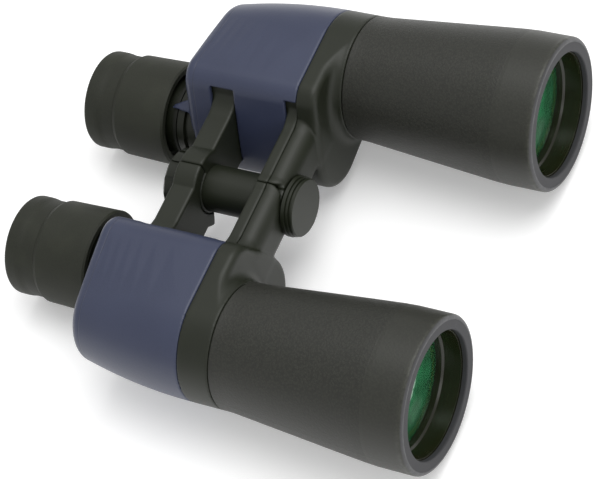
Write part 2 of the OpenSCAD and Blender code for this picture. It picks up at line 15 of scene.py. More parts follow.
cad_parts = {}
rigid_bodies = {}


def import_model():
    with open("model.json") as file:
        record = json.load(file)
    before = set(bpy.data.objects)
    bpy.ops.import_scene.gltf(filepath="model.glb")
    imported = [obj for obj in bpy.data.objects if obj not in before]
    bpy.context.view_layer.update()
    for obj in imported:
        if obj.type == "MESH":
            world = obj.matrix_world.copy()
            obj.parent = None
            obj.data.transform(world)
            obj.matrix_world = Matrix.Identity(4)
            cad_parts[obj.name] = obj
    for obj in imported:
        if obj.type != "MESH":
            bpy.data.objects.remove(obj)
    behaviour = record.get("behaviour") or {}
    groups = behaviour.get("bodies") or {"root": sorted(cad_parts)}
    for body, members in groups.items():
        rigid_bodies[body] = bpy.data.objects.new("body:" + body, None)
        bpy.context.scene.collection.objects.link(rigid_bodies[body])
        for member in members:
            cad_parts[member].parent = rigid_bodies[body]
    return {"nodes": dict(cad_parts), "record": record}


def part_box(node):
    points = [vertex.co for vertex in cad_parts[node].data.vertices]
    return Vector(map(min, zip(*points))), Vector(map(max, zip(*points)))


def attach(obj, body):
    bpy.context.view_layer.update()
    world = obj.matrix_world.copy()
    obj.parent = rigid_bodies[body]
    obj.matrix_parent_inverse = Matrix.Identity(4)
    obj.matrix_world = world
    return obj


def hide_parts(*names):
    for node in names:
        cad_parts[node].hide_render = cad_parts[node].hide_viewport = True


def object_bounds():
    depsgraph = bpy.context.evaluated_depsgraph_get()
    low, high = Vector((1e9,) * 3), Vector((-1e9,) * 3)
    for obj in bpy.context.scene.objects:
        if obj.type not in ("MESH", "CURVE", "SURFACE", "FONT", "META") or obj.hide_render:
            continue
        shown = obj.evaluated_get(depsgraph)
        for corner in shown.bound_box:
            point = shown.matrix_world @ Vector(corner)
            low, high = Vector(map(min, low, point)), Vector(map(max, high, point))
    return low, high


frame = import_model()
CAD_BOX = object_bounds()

bl_info = {
    "name": "Porro Binoculars",
    "version": (1, 0, 0),
    "blender": (4, 5, 0),
    "location": "View3D > Sidebar > Binoculars",
    "description": "Builds the looks of marine Porro-prism binoculars round their packed part",
    "category": "Object",
}

SIDES = ("left", "right")


# ------------------------------------------------------------------ settings


class CastingSizes(bpy.types.PropertyGroup):
    """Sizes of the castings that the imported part's boxes don't give."""

    step: bpy.props.FloatProperty(
        name="Skin step",
        description="Distance between the points of a casting's skin",
        default=0.0006,
        unit="LENGTH",
        precision=5,
    )
    boss_l: bpy.props.FloatProperty(
        name="Boss length",
        description="How far the boss round the tube stands out of the front plate",
        default=0.005,
        unit="LENGTH",
    )
    boss_fillet: bpy.props.FloatProperty(
        name="Boss fillet",
        description="Radius of the valley between the boss and the plate",
        default=0.0044,
        unit="LENGTH",
    )
    plate_round: bpy.props.FloatProperty(
        name="Plate edge",
        description="Radius of the front plate's edge",
        default=0.003,
        unit="LENGTH",
    )
    front_round: bpy.props.FloatProperty(
        name="Front arm edge",
        description="Radius that rounds over the front arm's edge",
        default=0.0065,
        unit="LENGTH",
    )
    arm_edge: bpy.props.FloatProperty(
        name="Arm edge",
        description="Radius of the other arm edges",
        default=0.0007,
        unit="LENGTH",
    )
    shell_t: bpy.props.FloatProperty(
        name="Shell thickness",
        description="Thickness of the blue cover shell",
        default=0.002,
        unit="LENGTH",
    )
    wall: bpy.props.FloatProperty(
        name="Casting wall",
        description="Wall thickness of the castings",
        default=0.002,
        unit="LENGTH",
    )
    rear_round: bpy.props.FloatProperty(
        name="Rear rounding",
        description="Radius of the housing's rear edge",
        default=0.0035,
        unit="LENGTH",
    )


class ThreadSizes(bpy.types.PropertyGroup):
    """The fine filter thread in each mouth and the threads of the casting screws."""

    mouth_r: bpy.props.FloatProperty(
        name="Mouth radius",
        description="Radius of the objective mouth",
        default=0.025,
        unit="LENGTH",
    )
    mouth_crests: bpy.props.IntProperty(
        name="Mouth crests",
        description="How many thread crests show inside the mouth",
        default=1,
        min=1,
        max=12,
    )
    mouth_pitch: bpy.props.FloatProperty(
        name="Mouth pitch",
        description="Distance from one crest in the mouth to the next",
        default=0.00075,
        unit="LENGTH",
        precision=5,
    )
    crest_r: bpy.props.FloatProperty(
        name="Crest radius",
        description="Radius of a crest's own section",
        default=0.00009,
        unit="LENGTH",
        precision=5,
    )
    screw_head_r: bpy.props.FloatProperty(
        name="Screw head radius",
        description="Radius of a casting screw's head",
        default=0.0019,
        unit="LENGTH",
    )
    screw_head_t: bpy.props.FloatProperty(
        name="Screw head thickness",
        description="Thickness of a casting screw's head",
        default=0.0011,
        unit="LENGTH",
    )
    screw_shank_r: bpy.props.FloatProperty(
        name="Screw shank radius",
        description="Radius of a casting screw's shank",
        default=0.00085,
        unit="LENGTH",
        precision=5,
    )
    screw_pitch: bpy.props.FloatProperty(
        name="Screw pitch",
        description="Distance from one screw crest to the next",
        default=0.0007,
        unit="LENGTH",
        precision=5,
    )


class FinishColours(bpy.types.PropertyGroup):
    """Colours of the finishes, as linear light."""

    shell: bpy.props.FloatVectorProperty(
        name="Cover shell",
        description="Slate blue of the painted cover shells",
        default=(0.029, 0.036, 0.070),
        subtype="COLOR",
        size=3,
        min=0,
        max=1,
    )
    casting: bpy.props.FloatVectorProperty(
        name="Castings",
        description="Olive black of the arms and front covers",
        default=(0.0100, 0.0122, 0.0064),
        subtype="COLOR",
        size=3,
        min=0,
        max=1,
    )
    tube: bpy.props.FloatVectorProperty(
        name="Objective tubes",
        description="Black of the pebbled tubes",
        default=(0.0170, 0.0178, 0.0130),
        subtype="COLOR",
        size=3,
        min=0,
        max=1,
    )
    rubber: bpy.props.FloatVectorProperty(
        name="Rubber",
        description="Dull black of the focus rings and eyecups",
        default=(0.0160, 0.0178, 0.0112),
        subtype="COLOR",
        size=3,
        min=0,
        max=1,
    )
    rim: bpy.props.FloatVectorProperty(
        name="Rims",
        description="Grey of the flat rim rings",
        default=(0.038, 0.038, 0.041),
        subtype="COLOR",
        size=3,
        min=0,
        max=1,
    )
    coating: bpy.props.FloatVectorProperty(
        name="Lens coating",
        description="Emerald of the coated objective lenses",
        default=(0.022, 0.170, 0.066),
        subtype="COLOR",
        size=3,
        min=0,
        max=1,
    )


class StudioSizes(bpy.types.PropertyGroup):
    """The camera and the soft lights."""

    azimuth: bpy.props.FloatProperty(
        name="Azimuth",
        description="Camera's direction round the binoculars",
        default=math.radians(-43.48),
        unit="ROTATION",
    )
    elevation: bpy.props.FloatProperty(
        name="Elevation",
        description="Camera's height above the horizon",
        default=math.radians(52.83),
        unit="ROTATION",
    )
    roll: bpy.props.FloatProperty(
        name="Roll",
        description="Turn of the camera about its own line of sight",
        default=math.radians(-27.18),
        unit="ROTATION",
    )
    distance: bpy.props.FloatProperty(
        name="Distance",
        description="From the aim point to the camera",
        default=1.00187,
        unit="LENGTH",
    )
    lens: bpy.props.FloatProperty(
        name="Lens",
        description="Focal length on a sensor 36 mm wide",
        default=154.34,
        unit="CAMERA",
    )
    aim: bpy.props.FloatVectorProperty(
        name="Aim",
        description="Point that the camera looks at, from the middle of the closed box",
        default=(-0.02125, -0.0265, 0.01468),
        subtype="TRANSLATION",
        size=3,
    )
    key_power: bpy.props.FloatProperty(
        name="Key power",
        description="Power of the large soft light",
        default=15.0,
        unit="POWER",
    )
    room: bpy.props.FloatProperty(
        name="Room light",
        description="Strength of the even light from all round",
        default=0.66,
        min=0,
    )


# -------------------------------------------------------------------- layout


class Layout:
    """Stations of the binoculars in millimetres: x and z from the hinge axis, y from
    the objective rims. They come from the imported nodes' boxes."""

    gap = 0.1
    fold_gap = 0.05
    shaft_gap = 0.06
    half_washer = 0.25
    shoulder_r = 10.0
    arm_top = 13.5
    arm_root_top = 21.3
    arm_fillet = 12.0
    front_bottom = -8.0
    rear_bottom = -10.5
    fold_cut = math.radians(58)
    knuckle_r = 14.0
    rear_knuckle_r = 16.6
    pocket_r = 10.9
    neck_hole_r = 14.5
    spigot_r = 23.45
    spigot_l = 9.1
    light_r = 20.2
    neck_depth = 8.0
    bow = 450.0

    def __init__(self):
        shaft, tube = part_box("hinge_shaft"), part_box("left_objective_tube")
        cover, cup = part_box("left_front_cover"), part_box("left_eyecup")
        bar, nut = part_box("hinge_tube"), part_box("hinge_lock_nut")
        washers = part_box("hinge_washers")
        self.axis_z = (shaft[0].z + shaft[1].z) / 2
        self.rim_y = tube[0].y
        self.obj_x = 500 * (tube[0].x + tube[1].x)
        self.eye_x = 500 * (cup[0].x + cup[1].x)
        self.eye_z = 500 * (cup[0].z + cup[1].z) - 1000 * self.axis_z
        self.root_r = self.height(cover[1].z)
        self.lobe_r = self.eye_z - self.height(cover[0].z)
        self.y_boss = self.along(cover[0].y)
        self.y_seam = self.y_boss - self.gap
        self.y_joint = self.along(cover[1].y) + self.gap
        self.y_strip = self.along(bar[0].y) - self.gap
        self.y_rear_arm = self.along(bar[1].y) + self.gap
        self.y_rear_arm_end = self.along(nut[0].y) - self.gap
        self.y_casting_end = self.along(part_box("left_prism_housing")[1].y)
        self.shaft_r = 500 * (shaft[1].x - shaft[0].x)
        self.knuckle_in_r = 500 * (washers[1].x - washers[0].x) + 0.6
        self.shoulder = (self.eye_x + 3.7, self.root_r - self.shoulder_r)

    def along(self, y):
        return 1000 * (y - self.rim_y)

    def height(self, z):
        return 1000 * (z - self.axis_z)

    def place(self, points, side):
        """Points in these millimetres as metres in the frame, on the given side."""
        made = np.array(points, float) / 1000
        if side == "right":
            made[:, 0] *= -1
        made[:, 1] += self.rim_y
        made[:, 2] += self.axis_z
        return made

    def arms(self):
        """Bottom, end radius, front and back of the housing's two arms."""
        return [
            (self.front_bottom, self.knuckle_r, self.y_joint, self.y_strip),
            (self.rear_bottom, self.rear_knuckle_r, self.y_rear_arm, self.y_rear_arm_end),
        ]

    def circles(self):
        """The housing's outline is a belt round these: x, z and radius."""
        return [
            (self.obj_x, 0.0, self.root_r),
            (self.shoulder[0], self.shoulder[1], self.shoulder_r),
            (self.eye_x, self.eye_z, self.lobe_r),
        ]


# ------------------------------------------------- castings as distance fields

BEYOND = 1e3  # millimetres, past the end of every lattice


def meet(a, b, r=0.0):
    """Where both forms are, with the edge between them rounded to radius r."""
    if not r:
        return np.maximum(a, b)
    p, q = a + r, b + r
    return np.minimum(np.maximum(p, q), 0) + np.hypot(np.maximum(p, 0), np.maximum(q, 0)) - r


def join(a, b, r=0.0):
    """Both forms together, with a fillet of radius r in the corner between them."""
    return -meet(-a, -b, r)


def cut(a, b, r=0.0):
    """The first form without the second."""
    return meet(a, -b, r)


class Lattice:
    """A box of points, in millimetres, on which a casting's form is worked out."""

    def __init__(self, low, high, step):
        self.low, self.step = np.array(low, float), step
        ends = [a + step * np.arange(math.ceil((b - a) / step) + 1) for a, b in zip(low, high)]
        self.x = ends[0].astype(np.float32)[:, None, None]
        self.y = ends[1].astype(np.float32)[None, :, None]
        self.z = ends[2].astype(np.float32)[None, None, :]

    def disc(self, cx, cz, r):
        return np.hypot(self.x - cx, self.z - cz) - r

    def between(self, a, b):
        return np.maximum(a - self.y, self.y - b)

    def rod(self, cx, cz, r, a, b):
        return np.maximum(self.disc(cx, cz, r), self.between(a, b))

    def belt(self, circles, bow):
        """The closed belt round the circles. The first one's radius shrinks by bow(y)."""
        t = np.linspace(0, 2 * math.pi, 200, endpoint=False)
        nx, nz = np.cos(t).astype(np.float32), np.sin(t).astype(np.float32)
        lean = self.x[:, 0, :, None] * nx + self.z[0, 0, None, :, None] * nz
        made = np.empty((self.x.size, self.y.size, self.z.size), np.float32)
        for j, y in enumerate(self.y.ravel()):
            reach = [
                cx * nx + cz * nz + r - (bow(y) if i == 0 else 0)
                for i, (cx, cz, r) in enumerate(circles)
            ]
            made[:, j, :] = (lean - np.max(reach, axis=0)).max(axis=2)
        return made

    def skin(self, field):
        """Corners and four-sided faces of the surface where the field passes zero."""
        inside = field < 0
        shape = np.array(field.shape) - 1
        total = np.zeros((*shape, 3), np.float32)
        hits = np.zeros(shape, np.float32)
        crossed = []
        for axis in range(3):
            near = [slice(None)] * 3
            far = [slice(None)] * 3
            near[axis], far[axis] = slice(0, -1), slice(1, None)
            f0, f1 = field[tuple(near)], field[tuple(far)]
            cross = inside[tuple(near)] != inside[tuple(far)]
            share = np.where(cross, f0 / np.where(cross, f0 - f1, 1), 0)
            crossed.append(cross)
            others = [k for k in range(3) if k != axis]
            index = np.indices(cross.shape, np.float32)
            index[axis] += share
            for first in (0, 1):
                for second in (0, 1):
                    take = [slice(None)] * 3
                    take[others[0]] = slice(first, cross.shape[others[0]] - 1 + first)
                    take[others[1]] = slice(second, cross.shape[others[1]] - 1 + second)
                    part = cross[tuple(take)]
                    hits += part
                    for k in range(3):
                        total[..., k] += np.where(part, index[k][tuple(take)], 0)
        used = hits > 0
        number = np.full(shape, -1, np.int64)
        number[used] = np.arange(int(used.sum()))
        corners = total[used] / hits[used][:, None] * self.step + self.low
        faces = []
        for axis in range(3):
            b, c = (axis + 1) % 3, (axis + 2) % 3
            at = np.array(np.nonzero(crossed[axis]))
            keep = (at[b] > 0) & (at[c] > 0) & (at[b] < shape[b]) & (at[c] < shape[c])
            at = at[:, keep]
            ring = []
            for db, dc in ((1, 1), (0, 1), (0, 0), (1, 0)):
                cell = at.copy()
                cell[b] -= db
                cell[c] -= dc
                ring.append(number[tuple(cell)])
            ring = np.array(ring).T
            outward = inside[tuple(at)]
            ring[~outward] = ring[~outward][:, ::-1]
            faces.append(ring)
        return corners, np.concatenate(faces)


def arm_field(grid, lay, bottom, end_r):
    """The arm's outline across the hinge axis: rounded end, level stretch and the
    fillet that climbs the housing, without what belongs to the other half."""
    reach = lay.eye_x + 1
    fillet_x = reach - lay.arm_fillet - 2
    across = np.maximum(-grid.x, grid.x - reach)
    bar = np.maximum(across, np.maximum(bottom - grid.z, grid.z - lay.arm_root_top))
    over_level = np.maximum(grid.x - fillet_x, lay.arm_top - grid.z)
    over_climb = grid.disc(fillet_x, lay.arm_top + lay.arm_fillet, lay.arm_fillet)
    bar = cut(cut(bar, over_level), over_climb)
    arm = np.minimum(grid.disc(0, 0, end_r), bar)
    arm = np.maximum(arm, lay.fold_gap - grid.x)
    below_fold = grid.x * math.sin(lay.fold_cut) + grid.z * math.cos(lay.fold_cut)
    return cut(arm, np.maximum(below_fold, grid.z))


def knuckle_field(grid, lay, side, bottom, a, b):
    """The half's own hinge knuckle: the left one lies in front, the right one behind."""
    middle = (a + b) / 2
    if side == "left":
        b = middle - lay.half_washer
    else:
        a = middle + lay.half_washer
    disc = grid.disc(0, 0, lay.knuckle_in_r)
    near = grid.disc(0, 0, lay.knuckle_in_r + 1)
    web = np.maximum(arm_field(grid, lay, bottom, lay.knuckle_r), near)
    solid = np.maximum(np.minimum(disc, web), grid.between(a, b))
    return cut(solid, grid.disc(0, 0, lay.shaft_r + lay.shaft_gap))


def front_cover_field(grid, lay, sizes, side):
    """The front cover: boss round the tube, plate, and the arm that grows out of it."""
    belt = grid.belt(lay.circles(), lambda y: 0)
    y_plate = lay.y_seam + 1000 * sizes.boss_l
    y_knuckle, end = y_plate + 2, lay.y_joint - lay.gap
    boss = meet(grid.disc(lay.obj_x, 0, lay.root_r), lay.y_boss - grid.y, 0.5)
    plate = meet(belt, y_plate - grid.y, 1000 * sizes.plate_round)
    arm = meet(
        arm_field(grid, lay, lay.front_bottom, lay.knuckle_r),
        y_plate + 1 - grid.y,
        1000 * sizes.front_round,
    )
    arm = cut(arm, grid.disc(0, 0, lay.pocket_r))
    upper_arm = np.maximum(arm, lay.front_bottom - grid.z)
    plate = np.maximum(join(plate, upper_arm, 2.0), np.minimum(belt, arm))
    whole = join(boss, plate, 1000 * sizes.boss_fillet)
    whole = np.maximum(whole, np.minimum(belt, arm))
    room = np.maximum(belt + 1000 * (sizes.shell_t + sizes.wall), y_plate + 2 - grid.y)
    spigot = grid.rod(lay.obj_x, 0, lay.spigot_r, -BEYOND, lay.y_seam + lay.spigot_l)
    light = grid.rod(lay.obj_x, 0, lay.light_r, lay.y_seam, BEYOND)
    whole = cut(cut(cut(whole, room), spigot), light)
    whole = np.minimum(whole, knuckle_field(grid, lay, side, lay.front_bottom, y_knuckle, end))
    return np.maximum(np.maximum(whole, grid.y - end), lay.y_boss - grid.y)


def housing_form(grid, sizes, belt, inset, end):
    """The belt, set in by inset, with a rounded rear end."""
    return meet(belt + inset, grid.y - end, 1000 * sizes.rear_round)


def rear_bow(lay):
    """How much the housing's round side draws in towards the rear."""
    return lambda y: max(0.0, y - lay.y_joint) ** 2 / lay.bow


def prism_housing_field(grid, lay, sizes, side):
    """The prism housing: a thin hollow body with both arms and their knuckles."""
    belt = grid.belt(lay.circles(), rear_bow(lay))
    inset = 1000 * sizes.shell_t + lay.gap
    wall = 1000 * sizes.wall
    end = lay.y_casting_end
    whole = housing_form(grid, sizes, belt, inset, end)
    for bottom, end_r, a, b in lay.arms():
        arm = meet(arm_field(grid, lay, bottom, end_r), grid.between(a, b), 1000 * sizes.arm_edge)
        whole = np.minimum(whole, cut(arm, grid.disc(0, 0, lay.pocket_r)))
    whole = cut(whole, housing_form(grid, sizes, belt, inset + wall, end - wall))
    neck = grid.rod(lay.eye_x, lay.eye_z, lay.neck_hole_r, end - lay.neck_depth, BEYOND)
    whole = np.maximum(cut(whole, neck), lay.y_joint - grid.y)
    for bottom, end_r, a, b in lay.arms():
        whole = np.minimum(whole, knuckle_field(grid, lay, side, bottom, a, b))
    return whole


def cover_shell_field(grid, lay, sizes, side):
    """The blue shell over the housing, notched for the arms and open round the neck."""
    belt = grid.belt(lay.circles(), rear_bow(lay))
    t = 1000 * sizes.shell_t
    end = lay.y_casting_end + t + lay.gap
    outer = housing_form(grid, sizes, belt, 0, end)
    inner = housing_form(grid, sizes, belt, t, end - t)
    shell = cut(outer, inner)
    shell = meet(shell, lay.y_joint + lay.gap - grid.y, 0.4)
    for a, b, bottom in (
        (lay.y_joint - 1, lay.y_strip, lay.front_bottom),
        (lay.y_rear_arm - lay.gap, lay.y_rear_arm_end, lay.rear_bottom),
    ):
        across = grid.x - lay.eye_x + 2
        upright = np.maximum(bottom - lay.gap - grid.z, grid.z - lay.arm_root_top - lay.gap)
        notch = np.maximum(np.maximum(across, upright), grid.between(a, b + lay.gap))
        shell = cut(shell, notch)
    for r, start in ((lay.lobe_r + 0.3, 0.05), (lay.neck_hole_r + lay.gap, lay.neck_depth)):
        shell = cut(shell, grid.rod(lay.eye_x, lay.eye_z, r, end - t - start, BEYOND))
    return join(shell, pointer_field(grid, lay, end - t), 1.2)


def pointer_field(grid, lay, start):
    """The fin on the shell's rear lip that points at the focus ring's scale: a long
    upper slope and a short lower one."""
    angle, length = math.radians(114), 11.5
    across, out = grid.x - lay.eye_x, grid.z - lay.eye_z
    radial = across * math.cos(angle) + out * math.sin(angle) - lay.lobe_r - 0.5
    sideways = -across * math.sin(angle) + out * math.cos(angle)
    shrink = 1 - 0.85 * np.clip((grid.y - start) / length, 0, 1)
    upper = 0.5 * (radial + 0.5 * shrink) - 7.5 * shrink - sideways
    fin = meet(upper, radial - 2.4 * shrink, 0.4)
    fin = np.maximum(fin, np.maximum(sideways - 1.4 * shrink, -0.5 * shrink - radial))
    return np.maximum(fin, grid.between(start, start + length))


# ------------------------------------------------------------------ finishes


class Wire:
    """A shader socket that takes part in sums; each step adds its Math node."""

    def __init__(self, finish, socket):
        self.finish, self.socket = finish, socket

    def __add__(self, other):
        return self.finish.math("ADD", self, other)

    def __sub__(self, other):
        return self.finish.math("SUBTRACT", self, other)

    def __mul__(self, other):
        return self.finish.math("MULTIPLY", self, other)

    def __truediv__(self, other):
        return self.finish.math("DIVIDE", self, other)

    def __pow__(self, other):
        return self.finish.math("POWER", self, other)

    def __radd__(self, other):
        return self.finish.math("ADD", other, self)

    def __rsub__(self, other):
        return self.finish.math("SUBTRACT", other, self)

    def __rmul__(self, other):
        return self.finish.math("MULTIPLY", other, self)

    def above(self, edge, width):
        """0 below the edge and 1 above it, easing over the width."""
        return self.finish.wire(
            "ShaderNodeMapRange",
            {"interpolation_type": "SMOOTHSTEP"},
            {"Value": self, "From Min": edge - width / 2, "From Max": edge + width / 2},
            "Result",
        )

    def band(self, low, high, width):
        """1 between low and high, easing to 0 outside."""
        return self.above(low, width) * (1 - self.above(high, width))


class Finish:
    """One material. Patterns lie on Object coordinates, in metres."""

    def __init__(self, name):
        self.material = bpy.data.materials.new(name)
        self.material.use_nodes = True
        self.tree = self.material.node_tree
        self.tree.nodes.clear()
        self.output = self.tree.nodes.new("ShaderNodeOutputMaterial")
        self.place = self.wire("ShaderNodeTexCoord", {}, {}, "Object")
        parts = self.node("ShaderNodeSeparateXYZ", {}, {"Vector": self.place})
        self.x, self.y, self.z = (Wire(self, parts.outputs[k]) for k in range(3))

    def feed(self, socket, value):
        if isinstance(value, Wire):
            self.tree.links.new(value.socket, socket)
        elif socket.type == "RGBA" and len(value) == 3:
            socket.default_value = (*value, 1)
        else:
            socket.default_value = value

    def node(self, kind, settings, sockets):
        """Any node: its type, then its settings, then what its sockets take."""
        made = self.tree.nodes.new(kind)
        for name, value in settings.items():
            setattr(made, name, value)
        for name, value in sockets.items():
            self.feed(made.inputs[name], value)
        return made

    def wire(self, kind, settings, sockets, output=0):
        return Wire(self, self.node(kind, settings, sockets).outputs[output])

    def math(self, operation, a, b=None):
        sockets = {0: a} if b is None else {0: a, 1: b}
        return self.wire("ShaderNodeMath", {"operation": operation}, sockets)

    def mix(self, share, a, b):
        """Colour a where the share is 0, and b where it is 1."""
        made = self.node("ShaderNodeMix", {"data_type": "RGBA"}, {0: share, 6: a, 7: b})
        return Wire(self, made.outputs[2])

    def noise(self, size, detail=2.0, roughness=0.5, place=None):
        """Noise between 0 and 1 whose lumps are about size metres across."""
        return self.wire(
            "ShaderNodeTexNoise",
            {"noise_dimensions": "3D"},
            {
                "Vector": place or self.place,
                "Scale": 1 / size,
                "Detail": detail,
                "Roughness": roughness,
            },
            "Fac",
        )

    def pebbles(self, size):
        """Rounded grains about size metres across, 0 in the joints and 1 on top."""
        distance = self.wire(
            "ShaderNodeTexVoronoi",
            {"feature": "SMOOTH_F1"},
            {"Vector": self.place, "Scale": 1 / size, "Smoothness": 0.6},
            "Distance",
        )
        return 1 - distance

    def stretched(self, scale):
        return self.wire(
            "ShaderNodeMapping", {"vector_type": "POINT"}, {"Vector": self.place, "Scale": scale}
        )

    def radius(self, x, z):
        """Distance from an axis along Y."""
        return self.math("SQRT", (self.x - x) ** 2 + (self.z - z) ** 2)

    def bump(self, height, depth, strength):
        sockets = {"Height": height, "Distance": depth, "Strength": strength}
        return self.wire("ShaderNodeBump", {}, sockets, "Normal")

    def surface(self, **values):
        """Ends the material with a Principled shader; base_color feeds Base Color."""
        sockets = {k.replace("_", " ").title().replace("Ior", "IOR"): v for k, v in values.items()}
        shader = self.node("ShaderNodeBsdfPrincipled", {}, sockets)
        self.tree.links.new(shader.outputs[0], self.output.inputs["Surface"])
        return self.material


def shade(colour, by):
    return tuple(min(1.0, c * by) for c in colour)


def moulded(name, colour, grain, depth, rough, spread=0.1, worn=1.6, gloss=0.36):
    """Painted or moulded satin plastic: fine grain, faint mottling, a few rubbed spots."""
    f = Finish(name)
    fine, broad = f.noise(grain, 3, 0.6), f.noise(0.02, 3)
    rubbed = f.noise(0.009, 6, 0.7).above(0.66, 0.08) * f.noise(0.0012, 2).above(0.5, 0.3)
    tone = f.mix(broad.above(0.5, 0.6), shade(colour, 0.86), shade(colour, 1.12))
    tone = f.mix(fine.above(0.5, 0.5) * 0.5, tone, shade(colour, 1.35))
    tone = f.mix(rubbed * 0.4, tone, shade(colour, worn))
    roughness = rough + (broad - 0.5) * spread + (fine - 0.5) * spread - rubbed * 0.08
    return f.surface(
        base_color=tone,
        roughness=roughness,
        specular_ior_level=gloss,
        normal=f.bump(fine, depth, 0.8),
    )


def grained_black(colour, rim, rim_y):
    """Pebbled leather-like coating, smoother on the collar behind the rim and bare
    like the rim ring on the rim's own edge."""
    f = Finish("grained_black")
    grain = f.pebbles(0.0009) * 0.7 + f.noise(0.0005, 3, 0.6) * 0.6
    behind = f.y.above(rim_y + 0.0175, 0.0004)
    broad = f.noise(0.03, 3)
    joint = grain.above(0.72, 0.5)
    tone = f.mix(joint, shade(colour, 0.72), shade(colour, 1.28))
    tone = f.mix(broad.above(0.5, 0.5) * 0.25, tone, shade(colour, 0.8))
    tone = f.mix((1 - behind) * 0.3, tone, shade(colour, 1.5))
    worn = (1 - f.y.above(rim_y + 0.0022, 0.0024)) * f.noise(0.002, 5, 0.7).above(0.5, 0.25)
    tone = f.mix(worn * 0.4, tone, shade(colour, 3.0))
    tone = f.mix(1 - f.y.above(rim_y + 0.0006, 0.0006), tone, rim)
    roughness = 0.5 + (grain - 0.7) * 0.16 + behind * 0.03 - worn * 0.1
    return f.surface(
        base_color=tone,
        roughness=roughness,
        specular_ior_level=0.45,
        normal=f.bump(grain * (0.45 + behind * 0.55), 0.00009, 0.9),
    )


def slate_blue(colour, rear_y):
    """Satin paint over fine orange peel, with the lip line along the rear edge, its groove
    darkened as painted shade.
    """
    f = Finish("slate_blue")
    peel, fine, broad = f.noise(0.0011, 2, 0.4), f.noise(0.00045, 3, 0.6), f.noise(0.025, 3)
    lip = f.y.band(rear_y - 0.0050, rear_y - 0.0047, 0.00025)
    scuff = f.noise(0.003, 6, 0.7).above(0.7, 0.05)
    tone = f.mix(broad.above(0.5, 0.6), shade(colour, 0.93), shade(colour, 1.06))
    tone = f.mix(fine.above(0.5, 0.4) * 0.35, tone, shade(colour, 1.22))
    tone = f.mix(scuff * 0.2, tone, shade(colour, 1.4))
    # painted shade: the lip groove darkened in the base colour
    tone = f.mix(lip * 0.55, tone, shade(colour, 0.45))
    return f.surface(
        base_color=tone,
        roughness=0.42 + (fine - 0.5) * 0.12 + (broad - 0.5) * 0.08 + scuff * 0.1,
        specular_ior_level=0.45,
        coat_weight=0.08 + (broad - 0.5) * 0.05,
        coat_roughness=0.28,
        normal=f.bump(peel * 0.7 + fine * 0.3 - lip * 1.5, 0.00006, 0.8),
    )


def rubber(name, colour, grain, depth, dusty=0.3):
    """Dull rubber: fine sandy grain, dust in the hollows, slight shine on handled parts."""
    f = Finish(name)
    fine, broad, handled = f.noise(grain, 4, 0.65), f.noise(0.015, 4), f.noise(0.04, 2)
    tone = f.mix(fine.above(0.5, 0.5), shade(colour, 0.75), shade(colour, 1.25))
    tone = f.mix(broad.above(0.56, 0.2) * dusty, tone, shade(colour, 1.7))
    return f.surface(
        base_color=tone,
        roughness=0.68 + (fine - 0.5) * 0.16 - handled.above(0.55, 0.2) * 0.08,
        specular_ior_level=0.35,
        normal=f.bump(fine, depth, 0.9),
    )


def baffle_black(colour):
    """Glossy black lacquer inside the mouth over faint turning lines."""
    f = Finish("baffle_black")
    lines = f.noise(0.0006, 2, 0.5, f.stretched((0.02, 1, 0.02)))
    broad = f.noise(0.012, 3)
    tone = f.mix(lines.above(0.5, 0.5), shade(colour, 0.9), shade(colour, 1.1))
    return f.surface(
        base_color=f.mix(broad.above(0.6, 0.2) * 0.3, tone, shade(colour, 1.5)),
        roughness=0.26 + (lines - 0.5) * 0.06 + (broad - 0.5) * 0.08,
        specular_ior_level=0.45,
        normal=f.bump(lines, 0.000004, 0.5),
    )


def turned_metal(name, colour, rough, line=0.0003):
    """Bare or plated metal with fine turning marks and a few dull stains."""
    f = Finish(name)
    lines = f.noise(line, 2, 0.5, f.stretched((0.05, 1, 0.05)))
    stain = f.noise(0.004, 5, 0.6).above(0.58, 0.15)
    tone = f.mix(lines.above(0.5, 0.5), shade(colour, 0.85), shade(colour, 1.1))
    return f.surface(
        base_color=f.mix(stain * 0.35, tone, shade(colour, 0.55)),
        metallic=1.0,
        roughness=rough + (lines - 0.5) * 0.15 + stain * 0.12,
        normal=f.bump(lines, 0.00001, 0.5),
    )


def coated_lens(name, colour, axes, lens_r, glint):
    """Coated glass. Its reflections are painted into the base colour: thin rings towards the rim,
    some of them yellowish painted glints, over painted shade towards the rim, round a cloudy
    bright field."""
    f = Finish(name)
    near = None
    for x, z in axes:
        r = f.radius(x, z) / lens_r
        near = r if near is None else f.math("MINIMUM", near, r)
    cloud = f.noise(0.010, 3)
    wavy = near + (cloud - 0.5) * 0.04
    wave = f.math("SINE", wavy * 92)
    # painted shade: the base colour darkens towards the rim
    outer = near.above(0.70, 0.06)
    base = f.mix(cloud.above(0.5, 0.35), shade(colour, 0.75), shade(colour, 1.3))
    base = f.mix(outer * 0.7, base, shade(colour, 0.5))
    # painted reflections: bright rings in the outer band
    base = f.mix(outer * wave.above(0.45, 0.5), base, shade(colour, 1.25))
    # painted glints: yellowish highlights on some of the rings
    base = f.mix(near.band(0.74, 0.86, 0.04) * wave.above(0.75, 0.3) * 0.8, base, glint)
    dust = f.noise(0.0006, 4, 0.7).above(0.74, 0.06)
    return f.surface(
        base_color=base,
        metallic=0.25,
        roughness=0.07 + dust * 0.2,
        ior=1.52,
        coat_weight=0.8 - dust * 0.4,
        coat_roughness=0.03,
    )


def prism_glass():
    """Clear prism glass with ground, slightly dusty faces."""
    f = Finish("prism_glass")
    dust = f.noise(0.0008, 5, 0.7).above(0.6, 0.15)
    return f.surface(
        base_color=f.mix(dust * 0.4, (0.72, 0.84, 0.86), (0.5, 0.55, 0.55)),
        roughness=0.04 + dust * 0.3,
        ior=1.57,
        transmission_weight=0.7,
        normal=f.bump(dust, 0.00001, 0.4),
    )


def axes_of(node):
    """The axis of the node on both sides: (x, z) in metres."""
    made = []
    for side in SIDES:
        a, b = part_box(f"{side}_{node}")
        made.append(((a.x + b.x) / 2, (a.z + b.z) / 2))
    return made


